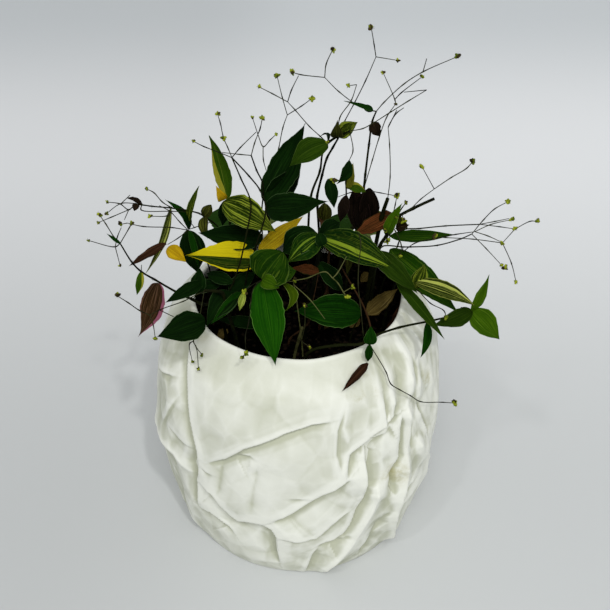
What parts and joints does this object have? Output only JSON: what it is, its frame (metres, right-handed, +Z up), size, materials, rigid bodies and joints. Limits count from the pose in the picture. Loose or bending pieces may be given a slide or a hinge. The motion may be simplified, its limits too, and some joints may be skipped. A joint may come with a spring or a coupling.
{
  "type": "potted variegated small-leaf spiderwort",
  "caption": "Small trailing plant with striped pointed leaves and thread-thin flower sprays, in a round white pot creased like crumpled paper.",
  "frame": {"origin": "middle of the pot's flat base, at the surface it stands on", "axes": "+Z up out of the pot, -Y towards the front of the plant, +X to its right as seen from the front"},
  "size_m": [0.1918, 0.149, 0.2471],
  "materials": {
    "pot": "matte",
    "soil": "matte",
    "green_leaf": "satin",
    "yellow_leaf": "satin",
    "maroon_leaf": "satin",
    "pale_stem": "satin",
    "dry_brown": "matte",
    "dry_tan": "matte"
  },
  "bodies": {
    "root": {"shoot_tall_right": "green_leaf", "shoot_tall_middle": "green_leaf", "shoot_upright_leaves": "green_leaf", "shoot_left_sprays": "green_leaf", "shoot_left_middle": "green_leaf", "shoot_upright_striped": "green_leaf", "shoot_left_long": "green_leaf", "shoot_left_fork": "green_leaf", "shoot_left_low": "green_leaf", "shoot_left_front": "green_leaf", "shoot_front": "green_leaf", "shoot_center": "green_leaf", "leaf_broad_front": "green_leaf", "spray_pale_front": "pale_stem", "stub_pale": "pale_stem", "thread_upright_front": "green_leaf", "shoot_right_low": "green_leaf", "shoot_right_mid": "green_leaf", "shoot_right_sprays": "green_leaf", "shoot_right_long": "green_leaf", "shoot_right_far": "green_leaf", "shoot_right_dark": "green_leaf", "leaf_brown_upper": "dry_brown", "leaf_maroon_center": "maroon_leaf", "bract_yellow": "yellow_leaf", "lobe_yellow_upper": "yellow_leaf", "leaf_maroon_left": "maroon_leaf", "leaf_brown_left": "dry_brown", "lobe_yellow_left": "yellow_leaf", "leaf_half_yellow": "yellow_leaf", "leaf_yellow_upper": "yellow_leaf", "leaf_brown_hanging": "dry_brown", "leaf_yellow_striped": "yellow_leaf", "shoot_back_left": "green_leaf", "shoot_back_right": "green_leaf", "dried_stems": "dry_brown", "scrap_right": "dry_tan", "scrap_front_right": "dry_tan", "scrap_left": "dry_tan", "pot": "pot", "soil": "soil"}
  },
  "joints": []
}
